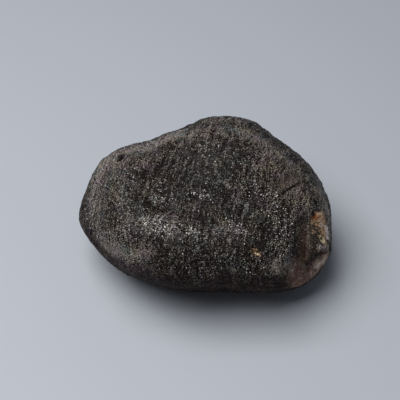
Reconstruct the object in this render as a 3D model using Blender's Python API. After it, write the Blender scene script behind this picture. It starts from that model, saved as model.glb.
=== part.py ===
"""A dark tektite: one solid lump of natural glass, resting on the small flat worn on its underside.

The stone lies on Z = 0, with its length along X. Its outline is drawn as it is seen from above the
front, and its dents and ridges are laid out from six sides, the way a carver turns a stone.
"""

import math

import bmesh
import bpy
from mathutils import Vector, noise
from mathutils.bvhtree import BVHTree

MM = 0.001

# Overall form
LENGTH = 50.0 * MM
DEPTH = 37.0 * MM
HEIGHT = 27.5 * MM
SQUARENESS = 2.25
GRID = 26
REST_FLAT_DEPTH = 0.55 * MM

# Sides from which the stone is shaped, as azimuth and elevation in degrees
THREE_QUARTER = (0.0, 45.0)
LEFT = (-80.0, 10.0)
RIGHT = (80.0, 5.0)
BACK = (180.0, 20.0)
BACK_LEFT = (-130.0, 30.0)
UNDER = (0.0, -75.0)

# The outline from the three-quarter side, as bearing in degrees and radius in millimetres.
# Bearing 0 is to the right and 90 is up. EYE_DISTANCE is how far off the eye stands.
EYE_DISTANCE = 225.0 * MM
OUTLINE = (
    (0, 24.2),
    (14, 22.6),
    (31, 20.2),
    (44, 18.9),
    (57, 18.8),
    (72, 18.1),
    (90, 17.1),
    (108, 15.8),
    (122, 16.3),
    (134, 17.3),
    (146, 20.1),
    (158, 22.7),
    (170, 23.8),
    (180, 25.0),
    (188, 25.6),
    (196, 24.6),
    (205, 23.4),
    (216, 22.0),
    (228, 20.2),
    (240, 19.1),
    (254, 18.0),
    (270, 17.5),
    (285, 18.2),
    (300, 20.3),
    (312, 23.3),
    (322, 25.4),
    (337, 26.3),
    (350, 24.9),
)
OUTLINE_STEP = 4

# Swellings and hollows: name, side, start and end as (right, up) in that side's view,
# reach and height, all in millimetres. A negative height is a hollow.
FORMS = (
    ("back dome", THREE_QUARTER, (2.0, 13.0), (8.0, 11.0), 10.0, 0.8),
    ("front slope", THREE_QUARTER, (-6.0, 4.0), (9.0, 2.0), 12.0, -1.9),
    ("front edge", THREE_QUARTER, (-15.0, -9.5), (10.0, -10.5), 9.0, 2.0),
    ("slanting trough", THREE_QUARTER, (2.0, 10.0), (-13.0, 3.0), 4.0, -0.35),
    ("lower front belly", THREE_QUARTER, (-4.0, -14.0), (12.0, -14.5), 8.0, 1.0),
    ("left shoulder", THREE_QUARTER, (-18.0, 4.0), (-20.0, -4.0), 8.0, 0.7),
    ("dent on the slope", THREE_QUARTER, (-9.6, -0.2), (-8.4, -0.8), 2.2, -0.5),
    ("rust pocket pit", THREE_QUARTER, (9.7, -9.3), (9.7, -9.3), 1.5, -0.4),
    ("upright groove", THREE_QUARTER, (19.4, -2.5), (18.8, -10.0), 2.6, -0.8),
    ("ledge over the chip", THREE_QUARTER, (20.5, -9.1), (22.4, -9.0), 2.4, 0.25),
    ("chip under the ledge", THREE_QUARTER, (20.8, -11.8), (22.2, -11.4), 2.4, -0.6),
    ("broad back hollow", BACK, (-7.0, 2.0), (4.0, -1.0), 9.0, -1.0),
    ("back ridge", BACK, (9.0, 7.0), (15.0, -4.0), 7.0, 0.7),
    ("back thumb mark", BACK, (12.0, -5.0), (10.0, -6.0), 4.0, -0.6),
    ("left end flat", LEFT, (2.0, 1.0), (2.0, 1.0), 9.0, -0.7),
    ("left back swelling", BACK_LEFT, (4.0, -2.0), (8.0, 3.0), 6.5, 0.6),
    ("left back thumb mark", BACK_LEFT, (-5.0, 4.0), (-3.0, 1.0), 4.0, -0.5),
    ("right end dent", RIGHT, (5.0, 4.0), (8.0, 0.0), 5.0, -0.7),
    ("underside hollow", UNDER, (14.0, 4.0), (10.0, -5.0), 6.0, -0.8),
    ("underside swelling", UNDER, (-13.0, 2.0), (-9.0, 6.0), 7.0, 0.6),
)

# Soft unevenness all over, as wavelength and height
UNEVENNESS = (
    (11.0 * MM, 0.45 * MM),
    (4.5 * MM, 0.16 * MM),
)

STONE_COLOUR = (0.045, 0.041, 0.038, 1.0)
STONE_ROUGHNESS = 0.62


def view_axes(side):
    """The right, up and toward-the-eye directions of a side."""
    azimuth, elevation = (math.radians(angle) for angle in side)
    right = Vector((math.cos(azimuth), math.sin(azimuth), 0.0))
    toward = Vector(
        (
            math.sin(azimuth) * math.cos(elevation),
            -math.cos(azimuth) * math.cos(elevation),
            math.sin(elevation),
        )
    )
    return right, toward.cross(right), toward


def make_ball():
    """A ball of unit radius, from a cube whose sides carry an even grid."""
    ball = bmesh.new()
    bmesh.ops.create_cube(ball, size=2.0)
    bmesh.ops.subdivide_edges(ball, edges=ball.edges[:], cuts=GRID - 1, use_grid_fill=True)
    for vertex in ball.verts:
        even = [math.tan(coordinate * math.pi / 4) for coordinate in vertex.co]
        vertex.co = Vector(even).normalized()
    return ball


def shape_body(stone):
    """Turns the ball into a rounded block of the stone's length, depth and height."""
    half = Vector((LENGTH, DEPTH, HEIGHT)) / 2
    for vertex in stone.verts:
        spread = sum(abs(part) ** SQUARENESS for part in vertex.co) ** (1 / SQUARENESS)
        vertex.co = vertex.co / spread * half
    stone.normal_update()


def surface_point(tree, side, place):
    """Where the surface is seen at a place, given as (right, up) in a side's view."""
    right, up, toward = view_axes(side)
    eye = toward * EYE_DISTANCE
    sight = right * place[0] * MM + up * place[1] * MM - eye
    return tree.ray_cast(eye, sight.normalized())[0]


def distance_to_stroke(point, start, end):
    """How far a point is from the line between two points."""
    stroke = end - start
    along = (point - start).dot(stroke) / max(stroke.length_squared, 1e-12)
    return (point - start - stroke * min(max(along, 0.0), 1.0)).length


def press_forms(stone):
    """Raises the swellings and presses in the hollows, each along the surface normal."""
    for _, side, start, end, reach, height in FORMS:
        tree = BVHTree.FromBMesh(stone)
        start_point = surface_point(tree, side, start)
        end_point = surface_point(tree, side, end)
        for vertex in stone.verts:
            share = distance_to_stroke(vertex.co, start_point, end_point) / (reach * MM)
            if share < 1:
                vertex.co += vertex.normal * height * MM * (1 - share**2) ** 2
        stone.normal_update()


def add_unevenness(stone):
    """Lets the surface wander in and out a little, at two sizes."""
    for wavelength, height in UNEVENNESS:
        for vertex in stone.verts:
            vertex.co += vertex.normal * height * noise.noise(vertex.co / wavelength)
        stone.normal_update()


def drawn_radius(bearing):
    """The drawn outline's radius at a bearing, on a smooth curve through its points."""
    count = len(OUTLINE)
    after = next((i for i, (angle, _) in enumerate(OUTLINE) if angle > bearing), count)
    knots = []
    for i in range(after - 2, after + 2):
        turn, index = divmod(i, count)
        angle, radius = OUTLINE[index]
        knots.append((angle + 360 * turn, radius))
    (a0, r0), (a1, r1), (a2, r2), (a3, r3) = knots
    span = a2 - a1
    t = (bearing - a1) / span
    slope1 = (r2 - r0) / (a2 - a0) * span
    slope2 = (r3 - r1) / (a3 - a1) * span
    return MM * (
        r1 * (2 * t**3 - 3 * t**2 + 1)
        + slope1 * (t**3 - 2 * t**2 + t)
        + r2 * (3 * t**2 - 2 * t**3)
        + slope2 * (t**3 - t**2)
    )


def fit_outline(stone):
    """Stretches the stone so that the eye sees the drawn outline. The middle stays as it is."""
    right, up, toward = view_axes(THREE_QUARTER)
    slots = 360 // OUTLINE_STEP
    fullest = [0.0] * slots
    seen = []
    for vertex in stone.verts:
        nearness = EYE_DISTANCE / (EYE_DISTANCE - vertex.co.dot(toward))
        across = vertex.co.dot(right) * nearness
        upward = vertex.co.dot(up) * nearness
        bearing = math.degrees(math.atan2(upward, across)) % 360
        fullness = math.hypot(across, upward) / drawn_radius(bearing)
        slot = int(bearing / OUTLINE_STEP) % slots
        fullest[slot] = max(fullest[slot], fullness)
        seen.append((bearing, fullness))
    for vertex, (bearing, fullness) in zip(stone.verts, seen):
        place = bearing / OUTLINE_STEP - 0.5
        slot = math.floor(place)
        blend = place - slot
        edge = fullest[slot % slots] * (1 - blend) + fullest[(slot + 1) % slots] * blend
        share = min(fullness / edge, 1.0)
        hold = share * share * (3 - 2 * share)
        in_view = right * vertex.co.dot(right) + up * vertex.co.dot(up)
        vertex.co += in_view * (1 / edge - 1) * hold
    stone.normal_update()


def wear_rest_flat(stone):
    """Wears the underside to a small flat and stands it on Z = 0, over the middle of the stone."""
    lowest = min(vertex.co.z for vertex in stone.verts)
    everything = stone.verts[:] + stone.edges[:] + stone.faces[:]
    cut = bmesh.ops.bisect_plane(
        stone,
        geom=everything,
        plane_co=Vector((0.0, 0.0, lowest + REST_FLAT_DEPTH)),
        plane_no=Vector((0.0, 0.0, -1.0)),
        clear_outer=True,
    )
    rim = [item for item in cut["geom_cut"] if isinstance(item, bmesh.types.BMEdge)]
    bmesh.ops.edgeloop_fill(stone, edges=rim)
    bmesh.ops.recalc_face_normals(stone, faces=stone.faces[:])
    lengthwise = [vertex.co.x for vertex in stone.verts]
    depthwise = [vertex.co.y for vertex in stone.verts]
    middle_x = (min(lengthwise) + max(lengthwise)) / 2
    middle_y = (min(depthwise) + max(depthwise)) / 2
    foot = Vector((middle_x, middle_y, lowest + REST_FLAT_DEPTH))
    bmesh.ops.translate(stone, verts=stone.verts[:], vec=-foot)


def stone_material():
    material = bpy.data.materials.new("tektite_glass")
    material.use_nodes = True
    surface = material.node_tree.nodes["Principled BSDF"]
    surface.inputs["Base Color"].default_value = STONE_COLOUR
    surface.inputs["Roughness"].default_value = STONE_ROUGHNESS
    surface.inputs["Metallic"].default_value = 0.0
    return material


def make_tektite():
    stone = make_ball()
    shape_body(stone)
    fit_outline(stone)
    press_forms(stone)
    add_unevenness(stone)
    fit_outline(stone)
    fit_outline(stone)
    wear_rest_flat(stone)
    mesh = bpy.data.meshes.new("tektite")
    stone.to_mesh(mesh)
    stone.free()
    mesh.materials.append(stone_material())
    mesh.shade_smooth()
    tektite = bpy.data.objects.new("tektite", mesh)
    bpy.context.scene.collection.objects.link(tektite)


for old in bpy.data.objects[:]:
    bpy.data.objects.remove(old)
make_tektite()
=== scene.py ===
import math

import bpy
import numpy as np
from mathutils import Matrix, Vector, noise
from mathutils.bvhtree import BVHTree


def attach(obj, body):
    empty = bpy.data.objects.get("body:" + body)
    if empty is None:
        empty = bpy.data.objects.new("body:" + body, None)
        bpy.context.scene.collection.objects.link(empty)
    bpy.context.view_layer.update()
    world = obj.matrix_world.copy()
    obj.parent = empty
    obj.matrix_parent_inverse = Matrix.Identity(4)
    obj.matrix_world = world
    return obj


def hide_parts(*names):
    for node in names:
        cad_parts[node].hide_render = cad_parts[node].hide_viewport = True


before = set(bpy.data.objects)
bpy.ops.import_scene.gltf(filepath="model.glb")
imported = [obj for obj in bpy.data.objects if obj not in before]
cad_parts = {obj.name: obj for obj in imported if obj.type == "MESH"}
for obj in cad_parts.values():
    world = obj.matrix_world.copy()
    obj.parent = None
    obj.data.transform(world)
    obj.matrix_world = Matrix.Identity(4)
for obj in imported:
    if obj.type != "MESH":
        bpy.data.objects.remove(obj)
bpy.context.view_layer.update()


# The camera. It looks down at 45 degrees from in front of the stone. What lies on the stone is
# laid out from the same eye, in millimetres to the right of the stone's middle and above it.
MM = 0.001
MIDDLE = Vector((0.52, 1.07, 13.38)) * MM
EYE_DISTANCE = 225 * MM
FRONT = (0, 45)
PICTURE_PIXELS = 400
PIXEL = 0.198 * MM
MIDDLE_PIXEL = (207.4, 203.7)
SENSOR_WIDTH = 36


def look_from(azimuth, elevation):
    """The directions to the right, up and towards an eye at these angles."""
    azimuth, elevation = math.radians(azimuth), math.radians(elevation)
    right = Vector((math.cos(azimuth), math.sin(azimuth), 0))
    flat = math.cos(elevation)
    toward = Vector((right.y * flat, -right.x * flat, math.sin(elevation)))
    return right, toward.cross(right), toward


toward_camera = look_from(*FRONT)[2]
bpy.ops.object.camera_add(
    location=MIDDLE + toward_camera * EYE_DISTANCE,
    rotation=(math.radians(90 - FRONT[1]), 0, 0),
)
camera = bpy.context.object
camera.data.sensor_width = SENSOR_WIDTH
camera.data.lens = SENSOR_WIDTH * EYE_DISTANCE / (PICTURE_PIXELS * PIXEL)
camera.data.shift_x = (PICTURE_PIXELS / 2 - MIDDLE_PIXEL[0]) / PICTURE_PIXELS
camera.data.shift_y = (MIDDLE_PIXEL[1] - PICTURE_PIXELS / 2) / PICTURE_PIXELS
camera.data.clip_start = 10 * MM
bpy.context.scene.camera = camera


# The stone's body. The real one is a splash of melted rock that froze to a solid lump of glass
# while it fell, and the ground it lay in has etched its skin. Here the solid's faces are joined
# at their corners and rounded, and the marks are then pressed into them one by one.
stone = bpy.data.objects.new("etched_stone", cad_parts["tektite"].data.copy())
bpy.context.collection.objects.link(stone)
bpy.ops.object.select_all(action="DESELECT")
bpy.context.view_layer.objects.active = stone
stone.select_set(True)
bpy.ops.mesh.customdata_custom_splitnormals_clear()
bpy.ops.object.mode_set(mode="EDIT")
bpy.ops.mesh.select_all(action="SELECT")
bpy.ops.mesh.remove_doubles(threshold=0.01 * MM)
bpy.ops.object.mode_set(mode="OBJECT")
rounding = stone.modifiers.new("rounding", "SUBSURF")
rounding.levels = rounding.render_levels = 2
bpy.ops.object.modifier_apply(modifier="rounding")


def stone_points():
    """Where each of the stone's points is."""
    points = np.empty(len(stone.data.vertices) * 3)
    stone.data.vertices.foreach_get("co", points)
    return points.reshape(-1, 3)


points = stone_points()
skin = BVHTree.FromObject(stone, bpy.context.evaluated_depsgraph_get())


def on_skin(place, side):
    """Where an eye at a side sees a place, given in millimetres to the right and up."""
    right, up, toward = look_from(*side)
    eye = MIDDLE + toward * EYE_DISTANCE
    sight = MIDDLE + right * place[0] * MM + up * place[1] * MM - eye
    hit = skin.ray_cast(eye, sight.normalized())[0] or skin.find_nearest(eye + sight)[0]
    return np.array(hit)


def soft(distance, reach):
    """How much of a soft brush, with a reach in millimetres, is left at a distance: 1 to 0."""
    share = np.clip(distance / (reach * MM), 0, 1)
    return (1 - share**2) ** 2


def stroke(places, reach, side=FRONT):
    """How much of a brush, drawn over these places as seen from a side, reaches each point."""
    path = [on_skin(place, side) for place in places]
    nearest = np.full(len(points), np.inf)
    for start, end in zip(path, path[1:] or path):
        run = end - start
        along = (points - start) @ run / max(run @ run, 1e-12)
        foot = start + np.clip(along, 0, 1)[:, None] * run
        nearest = np.minimum(nearest, np.linalg.norm(points - foot, axis=1))
    return soft(nearest, reach)


def push(name, weights, height, pattern=None, guide=None):
    """Raises the skin by a height in millimetres, as far as the weights and the pattern say."""
    group = stone.vertex_groups.new(name=name)
    for index in np.flatnonzero(weights > 0.001):
        group.add([int(index)], float(weights[index]), "REPLACE")
    change = stone.modifiers.new(name, "DISPLACE")
    change.vertex_group = name
    change.strength = height * MM
    change.mid_level = 0.5 if pattern else 0
    change.texture = pattern
    if guide:
        change.texture_coords = "OBJECT"
        change.texture_coords_object = guide
    bpy.ops.object.modifier_apply(modifier=name)
    stone.vertex_groups.clear()


# The marks on the side that is seen: a dent and a dark pit on the left, short slanting streaks in
# the middle, and two rusty pits, the crack, the groove and a broken ledge on the right.
dent = stroke([(-11.0, -0.3), (-8.8, -1.0)], 1.4)
dark_pit = stroke([(-17.2, 9.0), (-17.1, 9.8)], 1.2)
small_rust_pit = stroke([(9.2, -9.3), (10.0, -9.8)], 0.8)
big_rust_pit = stroke([(21.2, -2.6), (22.1, -4.6), (22.6, -7.0)], 1.3)
black_speck = stroke([(22.9, -6.9)], 0.5)
groove = stroke([(18.7, -3.6), (19.3, -7.2), (19.2, -10.6)], 1.3)
crack = stroke([(15.0, 2.0), (16.2, 3.0), (17.5, 3.7)], 0.43)
crack = np.maximum(crack, 0.4 * stroke([(17.5, 3.7), (18.4, 4.2)], 0.33))
streaks = (
    stroke([(4.4, -1.6), (6.4, 3.4)], 0.5)
    + stroke([(6.4, -2.2), (8.8, 3.0)], 0.6)
    + stroke([(7.4, 5.0), (8.8, 8.0)], 0.6)
    + stroke([(-1.4, -1.0), (-0.8, -3.6)], 0.5)
    + stroke([(0.6, 11.6), (1.4, 14.6)], 0.5)
    + stroke([(3.4, 11.0), (4.6, 14.0)], 0.5)
    + stroke([(-9.6, 6.0), (-8.6, 9.0)], 0.5)
    + stroke([(5.0, -10.8), (6.6, -15.4)], 0.5)
    + stroke([(7.2, -11.4), (8.8, -15.8)], 0.5)
)
push("streaks", streaks, -0.15)
push("dent", dent, -0.4)
push("dent rim", stroke([(-10.0, 1.1), (-8.6, 0.7)], 0.8), 0.15)
push("dark pit", dark_pit, -0.5)
push("notch in the top edge", stroke([(13.3, 12.4)], 0.8), -0.25)
push("small rust pit", small_rust_pit, -0.4)
push("big rust pit", big_rust_pit, -0.3)
push("black speck", black_speck, -0.35)
push("groove", groove, -0.18)
for across in (17.5, 19.5):
    push("line in the groove", stroke([(across, -5.5), (across - 0.2, -10.6)], 0.5), -0.16)
push("crack", crack, -0.32)
push("ledge", stroke([(21.2, -9.5), (22.6, -9.0), (23.8, -8.8)], 0.7), 0.25)
push("under the ledge", stroke([(21.6, -10.1), (22.6, -9.9), (23.5, -9.7)], 0.6), -0.3)

# The marks on the sides that are turned away: a groove, a scar and wide pits of the same kinds,
# laid out as seen from behind, from either end and from below.
BACK = (180, 20)
LEFT_END = (-80, 10)
RIGHT_END = (80, 5)
BELOW = (0, -60)
push("back groove", stroke([(-12.0, 5.0), (-9.0, 0.0), (-7.5, -5.0)], 1.4, BACK), -0.3)
push("back pits", stroke([(3.0, 4.0)], 1.3, BACK) + stroke([(9.5, -1.0)], 1.0, BACK), -0.4)
push("left pits", stroke([(-5.0, 2.0)], 1.2, LEFT_END) + stroke([(6.0, -3.0)], 0.9, LEFT_END), -0.35)
push("right scar", stroke([(4.0, 3.0), (7.0, 0.0)], 1.4, RIGHT_END), -0.35)
push("underside pits", stroke([(5.0, 6.0)], 1.4, BELOW) + stroke([(-9.0, -3.0)], 1.1, BELOW), -0.4)

# Small pits all over, where etching found a weak spot in the glass. Chance says where each one
# is and how wide, and says the same in each run.
SMALL_PITS = 150
NARROWEST_PIT = 0.4
WIDEST_PIT = 1.1
chance = np.random.default_rng(5)
scattered = np.zeros(len(points))
for index in chance.integers(len(points), size=SMALL_PITS):
    distance = np.linalg.norm(points - points[index], axis=1)
    scattered = np.maximum(scattered, soft(distance, chance.uniform(NARROWEST_PIT, WIDEST_PIT)))
push("scattered pits", scattered, -0.16)

# The flow lines. Layers of slightly different glass run through the whole stone, and etching has
# brought their edges out as fine parallel ridges. They come and go in patches, and are weaker in
# the groove and on the corner where the skin has chipped off.
ACROSS_LAYERS = Vector((0.92, -0.30, 0.24))
LAYERS = ACROSS_LAYERS.to_track_quat("X", "Z").to_euler()
LAYER_THICKNESS = 0.8 * MM
LAYER_LENGTH = 7 * MM
PATCH_SIZE = 5 * MM
bpy.ops.object.empty_add(location=MIDDLE, rotation=LAYERS)
layers = bpy.context.object
layers.scale = (LAYER_THICKNESS, LAYER_LENGTH, LAYER_LENGTH)
bpy.ops.object.select_all(action="DESELECT")
bpy.context.view_layer.objects.active = stone
stone.select_set(True)
flow = bpy.data.textures.new("flow", "CLOUDS")
flow.noise_scale = 1.0
flow.noise_depth = 2
patches = np.array([0.5 + noise.noise(Vector(point) / PATCH_SIZE) for point in points])
polished = stroke([(17.2, -12.8), (18.0, -15.5), (21.0, -13.5), (23.2, -11.0)], 2.9)
groove_floor = stroke([(19.0, -5.5), (18.9, -10.8)], 2.8)
coarseness = 1 - np.maximum(0.85 * polished, 0.5 * groove_floor)
push("flow lines", np.clip(0.35 + patches * 0.6, 0, 1) * coarseness, 0.42, flow, layers)

# The grain. Etching has eaten the whole skin into tiny pits with sharp ridges between them, about
# a millimetre apart. The finest grain of all is relief in the material.
coarse = bpy.data.textures.new("coarse grain", "CLOUDS")
coarse.noise_scale = 1.3 * MM
coarse.noise_depth = 1
push("coarse grain", coarseness, 0.17, coarse)
pits = bpy.data.textures.new("pits", "VORONOI")
pits.noise_scale = 0.8 * MM
push("pits", coarseness, 0.2, pits)

# The chipped corner has broken to small curved faces that are still smooth. The flat that the
# stone rests on stays level, so nothing reaches below it.
chips = bpy.data.textures.new("chips", "VORONOI")
chips.noise_scale = 2.6 * MM
push("chips", polished, 0.7, chips)
for vertex in stone.data.vertices:
    vertex.co.z = max(vertex.co.z, 0)
stone.data.shade_smooth()
bpy.data.objects.remove(layers)


def keep(name, values):
    """Stores a value for each point of the stone, for its material to read."""
    values = np.asarray(values, dtype=np.float32)
    stone.data.attributes.new(name, "FLOAT", "POINT").data.foreach_set("value", values)


# How far each point stands out from its neighbours, as a share of a fine ridge's height. The
# ridges are frosted more than the pits between them, and are painted paler and the pits darker, as
# painted light and shade of the fine relief.
RIDGE_HEIGHT = 0.02 * MM
grown = stone_points()
edges = np.empty(len(stone.data.edges) * 2, dtype=np.int32)
stone.data.edges.foreach_get("vertices", edges)
edges = edges.reshape(-1, 2)
around = np.zeros_like(grown)
count = np.zeros(len(grown))
for first, second in ((0, 1), (1, 0)):
    np.add.at(around, edges[:, first], grown[edges[:, second]])
    np.add.at(count, edges[:, first], 1)
outward = np.empty(len(grown) * 3)
stone.data.vertices.foreach_get("normal", outward)
outward = outward.reshape(-1, 3)
proud = ((grown - around / count[:, None]) * outward).sum(axis=1)
keep("ridge_shading", np.clip(proud / RIDGE_HEIGHT, -1.5, 1.5))

# Where the skin is paler than elsewhere and where it is darker. This is partly how thick the frost
# is, and partly painted light on what faces the lamp, painted reflection on the slanting rims and
# painted shade in the hollows and marks. The steep flank all round up to 12 millimetres is painted
# darker and browner, as painted shade, and a little less so near the floor.
FLANK_HEIGHT = 12
FLANK_FADE = 6
FLOOR_FADE = 8
above_floor = points[:, 2] / MM
above_flank = np.clip((above_floor - FLANK_HEIGHT) / FLANK_FADE, 0, 1)
flank_shade = (1 - above_flank) * np.clip(0.3 + above_floor / FLOOR_FADE, 0.4, 1)
frost_and_shading = (
    # Paler, partly frost and partly painted light and reflection: the upper left rim, the left end
    # and the lower left edge
    stroke([(-16.2, 10.0), (-11.3, 10.9)], 2.4)
    + 0.9 * stroke([(-9.2, 12.4), (-6.0, 13.3)], 2.0)
    + 0.8 * stroke([(-22.0, 5.0), (-20.0, 8.3), (-16.6, 10.4), (-11.3, 11.8), (-5.6, 14.0)], 3.5)
    + 0.55 * stroke([(-20.5, 8.5), (-21.5, 4.0), (-22.5, -2.4), (-20.0, -7.8), (-16.7, -9.5)], 5.5)
    + 0.4 * stroke([(-17.8, 8.5), (-18.0, 2.0)], 4.0)
    + 0.3 * stroke([(-17.0, 7.5), (-13.0, 9.0), (-10.5, 9.8)], 3.5)
    + 1.1 * stroke([(-20.6, -7.8), (-17.4, -10.0)], 2.4)
    + 0.8 * stroke([(-17.4, -10.0), (-11.5, -9.6)], 2.4)
    + 0.5 * stroke([(-20.8, -9.5), (-18.5, -12.0), (-12.5, -13.0)], 3.0)
    # Paler, partly frost and partly painted light: the middle of the front edge, the top, and the
    # slope down to the right
    + 0.45 * stroke([(2.5, -4.8), (5.5, -5.8)], 2.8)
    + 0.6 * stroke([(-4.0, 13.0), (3.0, 15.5), (6.5, 14.0)], 4.0)
    + 0.8 * stroke([(8.0, 14.0), (11.5, 12.3), (14.0, 10.0)], 3.0)
    + 0.4 * stroke([(14.5, 9.5), (16.5, 7.5)], 2.2)
    + 0.6 * stroke([(11.5, 11.0), (14.0, 7.0), (15.8, 3.5)], 4.0)
    + 0.5 * stroke([(18.0, 3.0), (18.5, -1.0)], 3.5)
    + 0.45 * stroke([(16.5, 8.0), (20.0, 4.5), (22.5, 0.5)], 2.4)
    + 0.5 * stroke([(0.0, 16.6), (6.0, 16.4)], 2.0)
    + 0.4 * stroke([(9.4, 4.8), (9.4, 7.4)], 2.6)
    + 0.25 * stroke([(6.5, -2.4), (9.4, -2.4)], 2.2)
    # Paler, partly frost and partly painted light: spots on the flank, beside the groove and beside
    # the dent
    + 0.35 * stroke([(-11.6, -9.6), (-11.4, -12.0)], 2.4)
    + 0.2 * stroke([(2.0, -16.5), (16.0, -16.5)], 3.0)
    + 0.4 * stroke([(20.3, -4.8), (20.3, -10.0)], 1.0)
    + 0.55 * stroke([(21.5, -6.0), (21.4, -10.2)], 1.3)
    + 0.9 * stroke([(-8.4, -2.8)], 1.7)
    + 0.4 * stroke([(20.9, 2.2), (21.2, -0.2)], 1.6)
    + 0.3 * stroke([(13.5, -8.5), (15.0, -12.5)], 3.0)
    + 0.8 * stroke([(13.0, -12.0), (16.0, -13.2)], 2.6)
    + 0.4 * stroke([(-6.7, -1.4)], 1.0)
    # Darker, partly less frost and partly painted shade: the left of the top, most of the flank,
    # small hollows, and the marks themselves
    - 0.22 * stroke([(-7.0, 7.0), (-6.0, 0.0)], 3.5)
    - 0.3 * stroke([(-3.0, 9.6), (-1.0, 6.0), (1.0, 2.0)], 4.0)
    - 0.3 * stroke([(0.9, 7.5)], 2.5)
    - 0.3 * stroke([(-11.3, -6.9), (-7.5, -7.3)], 1.7)
    - 0.45 * stroke([(-4.5, -7.6), (-0.5, -7.2)], 2.2)
    - 0.4 * stroke([(-12.0, -15.0), (-8.0, -15.5), (-4.0, -16.0)], 4.0)
    - 0.4 * stroke([(-10.5, -11.5), (-4.0, -12.0), (2.0, -11.5)], 3.2)
    - 0.3 * stroke([(-3.0, -9.2), (5.0, -9.0)], 2.4)
    - 0.45 * stroke([(14.5, -2.0), (15.8, -5.0)], 2.4)
    - 0.35 * stroke([(8.0, -9.8), (12.5, -9.0), (13.5, -6.5)], 2.4)
    - 0.3 * stroke([(6.0, -11.5), (12.0, -10.8)], 2.4)
    - 0.3 * stroke([(12.4, 0.5)], 2.0)
    - 1.1 * stroke([(0.7, 10.0)], 2.4)
    - 0.25 * stroke([(-14.9, 2.7), (-14.7, -2.2)], 1.0)
    - 0.25 * stroke([(-14.3, 4.5), (-11.9, 2.9)], 0.9)
    - 0.25 * stroke([(-6.8, 8.6), (-7.4, 4.7)], 0.9)
    - 0.5 * stroke([(-3.6, 1.6), (-2.6, 0.8)], 0.5)
    - 0.3 * stroke([(7.0, -7.0), (11.0, -6.5)], 3.0)
    - 0.3 * streaks
    - 0.8 * dent
    - 0.9 * dark_pit
    - 1.2 * crack
    - 0.2 * flank_shade
)
keep("frost_and_shading", frost_and_shading)
keep("flank_shade", flank_shade)
keep("polished", np.maximum(polished, 0.25 * groove_floor))

# Where the chipped corner's glass is thin and painted pale brown, as painted light shining through
# it, where a mark is painted black, as painted shade deep inside it, and where a film of brown earth
# dulls the skin.
keep(
    "thin_glow",
    0.3
    + 0.8 * stroke([(18.0, -16.5), (21.0, -14.5), (23.5, -11.5), (20.5, -11.0)], 2.2)
    - 0.6 * stroke([(17.2, -12.3), (17.8, -14.6)], 1.8),
)
keep("hollow_shade", np.minimum(0.9 * crack + dark_pit + stroke([(22.9, -6.9)], 0.45), 1))
keep(
    "umber",
    0.6 * stroke([(14.5, 3.5), (18.0, 5.5)], 3.0)
    + 0.55 * groove_floor
    + 0.5 * stroke([(21.0, -3.0), (21.2, -9.5)], 2.0),
)

# Where painted glints gather most, as painted highlights on the front edge, the dent's rim, the left
# rims and the right end, and where the frost is cooler in colour, or warmer, than elsewhere.
glint_band = (
    stroke([(-11.5, -3.8), (-6.0, -5.0), (-2.5, -6.0)], 2.6)
    + stroke([(-2.0, 2.2), (1.0, 1.6)], 1.5)
    + stroke([(3.8, -4.2), (6.4, -5.0)], 1.6)
    + stroke([(9.0, -4.0)], 0.9)
    + stroke([(-10.4, 0.0), (-8.9, 0.5)], 1.0)
    + stroke([(-21.5, -7.0), (-18.5, -10.2), (-14.0, -11.0)], 3.2)
    + 0.7 * stroke([(11.5, 1.5), (15.0, -4.0), (15.5, -8.5)], 4.0)
    + stroke([(17.0, -12.0), (18.8, -13.4)], 1.8)
    + 0.9 * stroke([(-23.0, -4.0), (-22.5, 3.0), (-18.5, 9.5), (-11.3, 11.9), (-6.0, 14.0)], 3.0)
    + 0.4 * stroke([(8.0, -12.0), (13.5, -13.5)], 3.0)
)
keep("glint_band", np.clip(glint_band, 0, 1))
keep("cool", stroke([(-3.0, 4.0), (6.0, 1.0)], 6.0) - stroke([(13.0, 6.0), (18.0, 2.0)], 6.0))

# Clay stained by rust, a thin film left in a few pits. It is red or cream in places, and the
# stone's edges beside it are painted pale, as painted highlights.
keep(
    "rust",
    stroke([(21.9, -2.8), (23.0, -3.1), (23.3, -7.0)], 2.2)
    + 0.5 * stroke([(22.1, -4.5), (22.3, -6.5)], 1.0)
    + 0.45 * stroke([(21.1, -3.6), (21.1, -5.4)], 1.4)
    + 0.6 * stroke([(9.2, -9.1), (10.0, -9.8)], 1.3)
    + 0.3 * stroke([(17.2, 5.7)], 1.0),
)
keep("red", stroke([(20.9, -2.5), (21.7, -2.8)], 1.1) + 0.5 * stroke([(9.2, -9.0)], 0.7))
keep("cream", stroke([(22.5, -6.9), (23.1, -7.4)], 1.2) + 0.5 * stroke([(10.0, -9.9)], 0.8))
keep(
    "edge_highlight",
    1.3 * stroke([(23.5, -4.8), (23.7, -6.3)], 1.2)
    + 0.55 * stroke([(24.0, -1.5), (24.2, -6.5)], 2.6)
    + stroke([(22.5, -3.8), (22.6, -4.4)], 0.6)
    + 0.4 * stroke([(22.4, 4.0), (22.8, -1.0)], 3.2)
    + 0.6 * stroke([(22.0, -8.5), (23.8, -8.6)], 1.5)
    + 0.65 * stroke([(21.5, -12.5), (23.5, -11.2)], 1.6),
)


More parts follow.
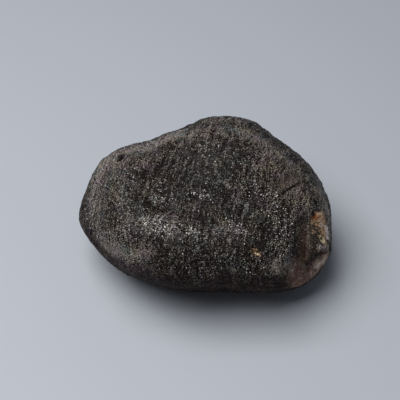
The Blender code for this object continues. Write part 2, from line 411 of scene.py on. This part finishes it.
# The glass itself. It is nearly black, and red to pale brown where it is thin, painted as light
# shining through it. Its etched skin is frosted in fine grains and streaks with white flecks painted
# as glints, and the frost is faintly tinted.
class Level:
    """A socket of a material that sums can be written with."""

    def __init__(self, finish, socket):
        self.finish = finish
        self.socket = socket

    def combine(self, operation, first, second=0.0):
        return self.finish.node("ShaderNodeMath", {"operation": operation}, {0: first, 1: second})

    def __add__(self, other):
        return self.combine("ADD", self, other)

    def __sub__(self, other):
        return self.combine("SUBTRACT", self, other)

    def __rsub__(self, other):
        return self.combine("SUBTRACT", other, self)

    def __mul__(self, other):
        return self.combine("MULTIPLY", self, other)

    def __abs__(self):
        return self.combine("ABSOLUTE", self)

    __radd__ = __add__
    __rmul__ = __mul__

    def between(self, low, high):
        """0 below the low level, 1 above the high one, and smooth between them."""
        settings = {"interpolation_type": "SMOOTHSTEP"}
        levels = {"Value": self, "From Min": low, "From Max": high}
        return self.finish.node("ShaderNodeMapRange", settings, levels)


class Finish:
    """A material, and the nodes that give it its look."""

    def __init__(self, name):
        self.material = bpy.data.materials.new(name)
        self.material.use_nodes = True
        self.tree = self.material.node_tree
        self.shader = self.tree.nodes["Principled BSDF"]

    def node(self, kind, settings, sockets, output=0):
        """Adds a node, with its settings made first and then its sockets joined or set."""
        node = self.tree.nodes.new(kind)
        for name, value in settings.items():
            setattr(node, name, value)
        for name, value in sockets.items():
            self.join(value, node.inputs[name])
        return Level(self, node.outputs[output])

    def join(self, value, socket):
        if isinstance(value, Level):
            self.tree.links.new(value.socket, socket)
        else:
            socket.default_value = value

    def blend(self, share, first, second):
        """One colour passing into another, in the sockets that a mix keeps for colours."""
        return self.node("ShaderNodeMix", {"data_type": "RGBA"}, {0: share, 6: first, 7: second}, 2)

    def grain(self, at, size, detail):
        """Cloudy noise with grains of a size in millimetres."""
        sockets = {"Vector": at, "Scale": 1 / (size * MM), "Detail": detail}
        return self.node("ShaderNodeTexNoise", {}, sockets)

    def kept(self, name):
        """A value that is stored for each point."""
        return self.node("ShaderNodeAttribute", {"attribute_name": name}, {}, "Fac")


# The layers of the glass aren't flat: they wander by a few millimetres.
BEND_LENGTH = 7 * MM
WANDER = Vector((4, 4, 4)) * MM
glass = Finish("etched_glass")
place = glass.node("ShaderNodeTexCoord", {}, {}, "Object")
bends = {"Vector": place, "Scale": 1 / BEND_LENGTH, "Detail": 1.0}
drift = glass.node("ShaderNodeTexNoise", {}, bends, "Color")
wandering = {0: drift, 1: WANDER, 2: place}
bent = glass.node("ShaderNodeVectorMath", {"operation": "MULTIPLY_ADD"}, wandering)


def layered(stretch):
    """Places in the bent layers of the glass, for a pattern that is drawn out along them."""
    return glass.node(
        "ShaderNodeMapping",
        {"vector_type": "TEXTURE"},
        {"Vector": bent, "Rotation": LAYERS, "Scale": Vector((1.0, stretch, stretch))},
    )


# How thick the frost is, with painted light and shade added in. Fine grit lies over grain and thin
# lines that are drawn out along the layers, the ridges have more of it and are painted paler, and
# some patches are harsher than others.
grit = glass.grain(place, 0.19, 0.0)
fabric = glass.grain(layered(3.5), 0.34, 1.0)
striae = 1 - abs(glass.grain(layered(9.0), 0.9, 1.0) - 0.5).between(0.0, 0.1)
mottle = glass.grain(place, 1.6, 2.0)
harshness = glass.grain(place, 3.0, 1.0).between(0.3, 0.7)
ridge_shading = glass.kept("ridge_shading")
flank_shade_share = glass.kept("flank_shade")
smooth = glass.kept("polished")
glint_band_share = glass.kept("glint_band")
pattern = (grit - 0.5) * 5.4 + (fabric - 0.5) * 1.8 + (mottle - 0.5) * 0.4
pattern = pattern + (striae - 0.4) * 0.6 + ridge_shading * 0.3
frost_and_shading_share = glass.kept("frost_and_shading")
contrast = harshness * 0.45 + glint_band_share * 0.6 + abs(frost_and_shading_share) * 0.3 + 0.68
contrast = contrast - smooth * 0.2 - flank_shade_share * 0.2
shaded_frosting = pattern * contrast + frost_and_shading_share + 0.11
shaded_frost = shaded_frosting.between(0.0, 2.2)

# The tints of the frost, and the colours of the glass under it. On the flank both are browner, and
# the frost is painted darker there as painted shade.
OLIVE_FROST = (0.296, 0.252, 0.194, 1)
PURPLE_FROST = (0.280, 0.226, 0.224, 1)
TEAL_FROST = (0.212, 0.228, 0.218, 1)
SHADED_BROWN_FROST = (0.174, 0.118, 0.074, 1)
SHADED_PLUM_FROST = (0.174, 0.096, 0.128, 1)
BLACK_GLASS = (0.0100, 0.0074, 0.0065, 1)
BROWN_GLASS = (0.0140, 0.0080, 0.0062, 1)
RED_GLASS = (0.125, 0.057, 0.046, 1)
GLOWING_THIN_GLASS = (0.465, 0.335, 0.245, 1)
UMBER = (0.074, 0.058, 0.036, 1)
coolness = glass.kept("cool") * 0.4 + (glass.grain(place, 2.6, 1.0) - 0.5) * 3.0 + 0.4
pinkness = (glass.grain(bent, 3.0, 1.0) - 0.5) * 3.0 + 0.4
pinkness = pinkness.between(0.0, 1.0)
frost_colour = glass.blend(coolness.between(0.0, 1.0), OLIVE_FROST, TEAL_FROST)
frost_colour = glass.blend(pinkness, frost_colour, PURPLE_FROST)
# Painted shade: on the flank the frost takes darker copies of its tints.
frost_colour = glass.blend(flank_shade_share, frost_colour, glass.blend(pinkness, SHADED_BROWN_FROST, SHADED_PLUM_FROST))
dark = glass.blend(flank_shade_share, BLACK_GLASS, BROWN_GLASS)
# Painted light: the thin glass is painted paler where light would shine through it.
thin_glow_level = (mottle - 0.5) * 2.4 + (grit - 0.5) * 2.8 + ridge_shading * 0.7 + glass.kept("thin_glow")
dark = glass.blend(smooth, dark, glass.blend(thin_glow_level.between(0.0, 1.5), RED_GLASS, GLOWING_THIN_GLASS))
colour = glass.blend(shaded_frost, dark, frost_colour)
colour = glass.blend(glass.kept("umber") * (0.3 + shaded_frost), colour, UMBER)

# Painted glints: white flecks in the colour that stand in for sparkle, a few in a hundred of the
# cells of a fine pattern, chosen by luck, and more of them where the painted glints gather.
GLINT_SIZE = 0.22 * MM
WHITE_GLINT = (0.95, 0.94, 0.92, 1)
cells = {"Vector": place, "Scale": 1 / GLINT_SIZE}
glint_middle = glass.node("ShaderNodeTexVoronoi", {}, cells, "Distance")
cell_colour = glass.node("ShaderNodeTexVoronoi", {}, cells, "Color")
luck = glass.node("ShaderNodeSeparateColor", {}, {"Color": cell_colour}, "Red")
glint_fleck = (luck + glint_band_share * 0.08 + (mottle - 0.5) * 0.08).between(0.96, 1.02)
glint_fleck = glint_fleck * (1 - glint_middle.between(0.2, 0.7)) * (1 - flank_shade_share * 0.5)
colour = glass.blend(glint_fleck, colour, WHITE_GLINT)

# Rust-stained clay in the pits, redder and paler in places, and the painted highlights on the edges
# beside it. Ragged noise breaks up their outlines.
ragged = (glass.grain(place, 0.6, 3.0) - 0.5) * 1.8
RUST_BROWN = (0.045, 0.022, 0.014, 1)
RUST_TAN = (0.650, 0.430, 0.265, 1)
RUST_RED = (0.280, 0.085, 0.030, 1)
CREAM = (0.930, 0.790, 0.490, 1)
PALE_HIGHLIGHT = (0.860, 0.750, 0.690, 1)
rust = glass.kept("rust")
red = glass.kept("red")
tan = (rust * 0.7 + ragged + (grit - 0.5) - red * 0.4).between(0.0, 0.9)
clay = glass.blend(tan, RUST_BROWN, RUST_TAN)
clay = glass.blend((red + ragged * 0.9).between(0.3, 1.0) * 0.8, clay, RUST_RED)
clay = glass.blend((glass.kept("cream") + ragged * 0.8).between(0.3, 0.9), clay, CREAM)
stained = (rust + ragged + (grit - 0.5)).between(0.1, 1.0) * rust.between(0.0, 0.3)
colour = glass.blend(stained, colour, clay)
edge_highlight = glass.kept("edge_highlight")
highlighted = (edge_highlight + ragged * 1.3 + (grit - 0.5) * 3).between(0.1, 1.4) * edge_highlight.between(0.0, 1.0)
colour = glass.blend(highlighted, colour, PALE_HIGHLIGHT)
# Painted shade: the deepest marks are painted black.
colour = glass.blend(glass.kept("hollow_shade"), colour, BLACK_GLASS)
glass.join(colour, glass.shader.inputs["Base Color"])

# Frost and the painted glints have a soft gloss, which is weaker at a slant, and hardly any on the
# flank or on clay. The finest relief is flatter on the chipped corner.
glass.join(0.32 + stained * 0.4 + smooth * 0.1, glass.shader.inputs["Roughness"])
glass.shader.inputs["Specular IOR Level"].default_value = 0.02
glossy = (0.1 + shaded_frost * 0.5 + glint_fleck) * (1 - flank_shade_share * 0.9) * (1 - stained) + smooth * 0.15
slanting = glass.node("ShaderNodeLayerWeight", {}, {"Blend": 0.5}, "Facing")
glass.join(glossy * (1 - slanting * 0.8), glass.shader.inputs["Coat Weight"])
glass.shader.inputs["Coat Roughness"].default_value = 0.3
relief = (grit * 0.4 + fabric * 0.8 + striae * 0.25) * (1 - smooth * 0.5)
bump = glass.node("ShaderNodeBump", {}, {"Strength": 1.0, "Distance": 0.45 * MM, "Height": relief})
glass.join(bump, glass.shader.inputs["Normal"])
stone.data.materials.clear()
stone.data.materials.append(glass.material)
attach(stone, "root")
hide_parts("tektite")


# The floor. The stone lies loose on a pale matt sheet that reaches far past the picture's edges.
FLOOR_WIDTH = 6
PALE_GREY = (0.50, 0.53, 0.58, 1)
bpy.ops.mesh.primitive_plane_add(size=FLOOR_WIDTH)
floor = bpy.context.object
floor.name = "floor"
paper = Finish("pale_paper")
paper.shader.inputs["Base Color"].default_value = PALE_GREY
paper.shader.inputs["Roughness"].default_value = 0.5
floor.data.materials.append(paper.material)

# The light. One large soft lamp hangs above the stone's left, turned towards it, and a faint
# bluish light comes evenly from all round.
LAMP_PLACE = Vector((-0.125, -0.04, 0.36))
bpy.ops.object.light_add(
    type="AREA", location=LAMP_PLACE, rotation=LAMP_PLACE.to_track_quat("Z", "Y").to_euler()
)
lamp = bpy.context.object.data
lamp.shape = "RECTANGLE"
lamp.size = 0.32
lamp.size_y = 0.25
lamp.energy = 1.5
world = bpy.data.worlds.new("studio")
bpy.context.scene.world = world
world.use_nodes = True
world.node_tree.nodes["Background"].inputs["Color"].default_value = (0.8, 0.86, 0.95, 1)
world.node_tree.nodes["Background"].inputs["Strength"].default_value = 0.12
bpy.context.scene.view_settings.view_transform = "Standard"
